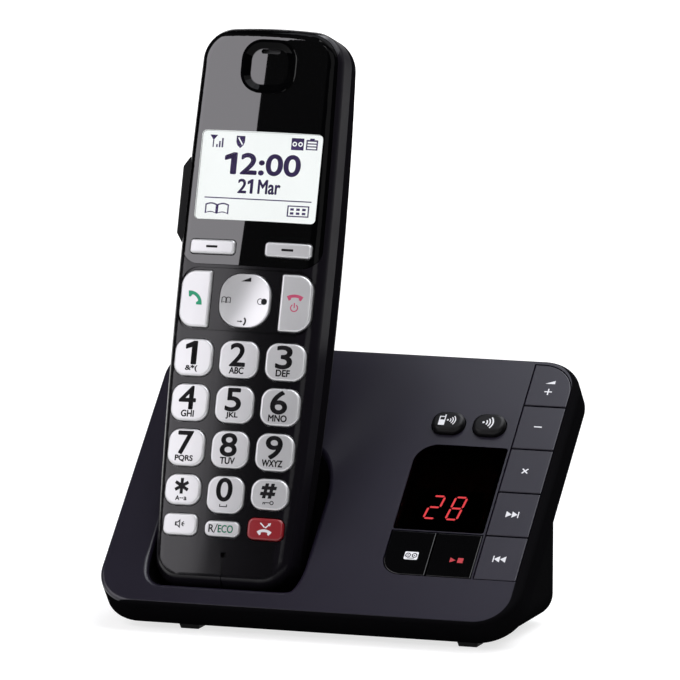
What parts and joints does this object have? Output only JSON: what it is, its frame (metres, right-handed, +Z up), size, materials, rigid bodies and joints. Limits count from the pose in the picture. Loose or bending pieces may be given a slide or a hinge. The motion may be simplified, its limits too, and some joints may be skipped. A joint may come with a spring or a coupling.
{
  "type": "cordless phone",
  "caption": "Cordless telephone handset with display and keypad, docked upright in a sloping answering machine base with playback keys and message counter.",
  "frame": {"origin": "middle of the base's footprint box, on the table under the feet", "axes": "+Z up, +X to the right as the keys are read, -Y towards the person using it"},
  "size_m": [0.13, 0.0804, 0.1726],
  "materials": {
    "handset_shell": "satin dark grey moulded plastic",
    "rocker": "satin black plastic",
    "fascia": "high gloss black",
    "lens": "clear polished acrylic",
    "display": "pale backlit display",
    "handset_key": "silver lacquered plastic",
    "block_key": "red plastic",
    "base_cover": "satin dark grey plastic",
    "base_housing": "fine textured black plastic",
    "base_key": "satin dark grey plastic",
    "pill_key": "fine textured black plastic",
    "counter_key": "gloss black plastic",
    "counter_window": "smoked acrylic",
    "digits": "red segments on black",
    "circuit_board": "green solder resist",
    "key_mat": "grey silicone",
    "foot_rubber": "matt black rubber",
    "speaker": "black enamelled can",
    "screw_steel": "zinc plated",
    "cell_sleeve": "printed shrink sleeve, plain green",
    "contact_metal": "gold flashed spring metal",
    "socket": "black moulded plastic"
  },
  "bodies": {
    "base": {"base_top_cover": "base_cover", "base_lower_housing": "base_housing", "base_feet": "foot_rubber", "base_board": "circuit_board", "base_key_mat": "key_mat", "base_speaker": "speaker", "base_screws": "screw_steel", "base_charge_contacts": "contact_metal", "counter_window": "counter_window", "digit_display": "digits", "line_socket": "socket", "power_socket": "socket"},
    "handset": {"handset_front_shell": "handset_shell", "handset_rear_shell": "handset_shell", "screen_fascia": "fascia", "display_lens": "lens", "lcd_module": "display", "earpiece_receiver": "speaker", "microphone": "speaker", "ringer_speaker": "speaker", "handset_board": "circuit_board", "handset_key_mat": "key_mat", "batteries": "cell_sleeve", "battery_contacts": "contact_metal", "handset_charge_contacts": "contact_metal", "handset_screws": "screw_steel"},
    "battery_cover": {"battery_cover": "handset_shell"},
    "volume_rocker": {"volume_rocker": "rocker"},
    "key_one": {"key_one": "handset_key"},
    "key_two": {"key_two": "handset_key"},
    "key_three": {"key_three": "handset_key"},
    "key_four": {"key_four": "handset_key"},
    "key_five": {"key_five": "handset_key"},
    "key_six": {"key_six": "handset_key"},
    "key_seven": {"key_seven": "handset_key"},
    "key_eight": {"key_eight": "handset_key"},
    "key_nine": {"key_nine": "handset_key"},
    "key_star": {"key_star": "handset_key"},
    "key_zero": {"key_zero": "handset_key"},
    "key_hash": {"key_hash": "handset_key"},
    "key_speaker": {"key_speaker": "handset_key"},
    "key_recall": {"key_recall": "handset_key"},
    "key_block": {"key_block": "block_key"},
    "key_talk": {"key_talk": "handset_key"},
    "key_off": {"key_off": "handset_key"},
    "key_nav": {"key_nav": "handset_key"},
    "key_soft_left": {"key_soft_left": "handset_key"},
    "key_soft_right": {"key_soft_right": "handset_key"},
    "key_volume_up": {"key_volume_up": "base_key"},
    "key_volume_down": {"key_volume_down": "base_key"},
    "key_erase": {"key_erase": "base_key"},
    "key_skip_forward": {"key_skip_forward": "base_key"},
    "key_skip_back": {"key_skip_back": "base_key"},
    "key_answer_on": {"key_answer_on": "counter_key"},
    "key_play_stop": {"key_play_stop": "counter_key"},
    "key_locator": {"key_locator": "pill_key"},
    "key_intercom": {"key_intercom": "pill_key"}
  },
  "joints": [
    {"name": "handset_lift", "type": "slide", "parent": "base", "child": "handset", "axis": [0, 0.2974, 0.9548], "range_m": [0, 0.07]},
    {"name": "battery_cover_pull", "type": "slide", "parent": "handset", "child": "battery_cover", "axis": [0, 0.9548, -0.2974], "range_m": [0, 0.012]},
    {"name": "volume_rock", "type": "hinge", "parent": "handset", "child": "volume_rocker", "pos_m": [-0.0485, 0.00747, 0.12146], "axis": [0, -0.9548, 0.2974], "range_deg": [-2.5, 2.5], "stiffness_Nm_per_rad": 0.05},
    {"name": "press_one", "type": "slide", "parent": "handset", "child": "key_one", "axis": [0, 0.9548, -0.2974], "range_m": [0, 0.0009], "stiffness_N_per_m": 300},
    {"name": "press_two", "type": "slide", "parent": "handset", "child": "key_two", "axis": [0, 0.9548, -0.2974], "range_m": [0, 0.0009], "stiffness_N_per_m": 300},
    {"name": "press_three", "type": "slide", "parent": "handset", "child": "key_three", "axis": [0, 0.9548, -0.2974], "range_m": [0, 0.0009], "stiffness_N_per_m": 300},
    {"name": "press_four", "type": "slide", "parent": "handset", "child": "key_four", "axis": [0, 0.9548, -0.2974], "range_m": [0, 0.0009], "stiffness_N_per_m": 300},
    {"name": "press_five", "type": "slide", "parent": "handset", "child": "key_five", "axis": [0, 0.9548, -0.2974], "range_m": [0, 0.0009], "stiffness_N_per_m": 300},
    {"name": "press_six", "type": "slide", "parent": "handset", "child": "key_six", "axis": [0, 0.9548, -0.2974], "range_m": [0, 0.0009], "stiffness_N_per_m": 300},
    {"name": "press_seven", "type": "slide", "parent": "handset", "child": "key_seven", "axis": [0, 0.9548, -0.2974], "range_m": [0, 0.0009], "stiffness_N_per_m": 300},
    {"name": "press_eight", "type": "slide", "parent": "handset", "child": "key_eight", "axis": [0, 0.9548, -0.2974], "range_m": [0, 0.0009], "stiffness_N_per_m": 300},
    {"name": "press_nine", "type": "slide", "parent": "handset", "child": "key_nine", "axis": [0, 0.9548, -0.2974], "range_m": [0, 0.0009], "stiffness_N_per_m": 300},
    {"name": "press_star", "type": "slide", "parent": "handset", "child": "key_star", "axis": [0, 0.9548, -0.2974], "range_m": [0, 0.0009], "stiffness_N_per_m": 300},
    {"name": "press_zero", "type": "slide", "parent": "handset", "child": "key_zero", "axis": [0, 0.9548, -0.2974], "range_m": [0, 0.0009], "stiffness_N_per_m": 300},
    {"name": "press_hash", "type": "slide", "parent": "handset", "child": "key_hash", "axis": [0, 0.9548, -0.2974], "range_m": [0, 0.0009], "stiffness_N_per_m": 300},
    {"name": "press_speaker", "type": "slide", "parent": "handset", "child": "key_speaker", "axis": [0, 0.9548, -0.2974], "range_m": [0, 0.0009], "stiffness_N_per_m": 300},
    {"name": "press_recall", "type": "slide", "parent": "handset", "child": "key_recall", "axis": [0, 0.9548, -0.2974], "range_m": [0, 0.0009], "stiffness_N_per_m": 300},
    {"name": "press_block", "type": "slide", "parent": "handset", "child": "key_block", "axis": [0, 0.9548, -0.2974], "range_m": [0, 0.0009], "stiffness_N_per_m": 300},
    {"name": "press_talk", "type": "slide", "parent": "handset", "child": "key_talk", "axis": [0, 0.9548, -0.2974], "range_m": [0, 0.0009], "stiffness_N_per_m": 300},
    {"name": "press_off", "type": "slide", "parent": "handset", "child": "key_off", "axis": [0, 0.9548, -0.2974], "range_m": [0, 0.0009], "stiffness_N_per_m": 300},
    {"name": "press_nav", "type": "slide", "parent": "handset", "child": "key_nav", "axis": [0, 0.9548, -0.2974], "range_m": [0, 0.0009], "stiffness_N_per_m": 300},
    {"name": "press_soft_left", "type": "slide", "parent": "handset", "child": "key_soft_left", "axis": [0, 0.9548, -0.2974], "range_m": [0, 0.0009], "stiffness_N_per_m": 300},
    {"name": "press_soft_right", "type": "slide", "parent": "handset", "child": "key_soft_right", "axis": [0, 0.9548, -0.2974], "range_m": [0, 0.0009], "stiffness_N_per_m": 300},
    {"name": "press_volume_up", "type": "slide", "parent": "base", "child": "key_volume_up", "axis": [0, 0.6626, -0.749], "range_m": [0, 0.001], "stiffness_N_per_m": 300},
    {"name": "press_volume_down", "type": "slide", "parent": "base", "child": "key_volume_down", "axis": [0, 0.6626, -0.749], "range_m": [0, 0.001], "stiffness_N_per_m": 300},
    {"name": "press_erase", "type": "slide", "parent": "base", "child": "key_erase", "axis": [0, 0.6626, -0.749], "range_m": [0, 0.001], "stiffness_N_per_m": 300},
    {"name": "press_skip_forward", "type": "slide", "parent": "base", "child": "key_skip_forward", "axis": [0, 0.6626, -0.749], "range_m": [0, 0.001], "stiffness_N_per_m": 300},
    {"name": "press_skip_back", "type": "slide", "parent": "base", "child": "key_skip_back", "axis": [0, 0.6626, -0.749], "range_m": [0, 0.001], "stiffness_N_per_m": 300},
    {"name": "press_answer_on", "type": "slide", "parent": "base", "child": "key_answer_on", "axis": [0, 0.6626, -0.749], "range_m": [0, 0.001], "stiffness_N_per_m": 300},
    {"name": "press_play_stop", "type": "slide", "parent": "base", "child": "key_play_stop", "axis": [0, 0.6626, -0.749], "range_m": [0, 0.001], "stiffness_N_per_m": 300},
    {"name": "press_locator", "type": "slide", "parent": "base", "child": "key_locator", "axis": [0, 0.6626, -0.749], "range_m": [0, 0.001], "stiffness_N_per_m": 300},
    {"name": "press_intercom", "type": "slide", "parent": "base", "child": "key_intercom", "axis": [0, 0.6626, -0.749], "range_m": [0, 0.001], "stiffness_N_per_m": 300}
  ]
}
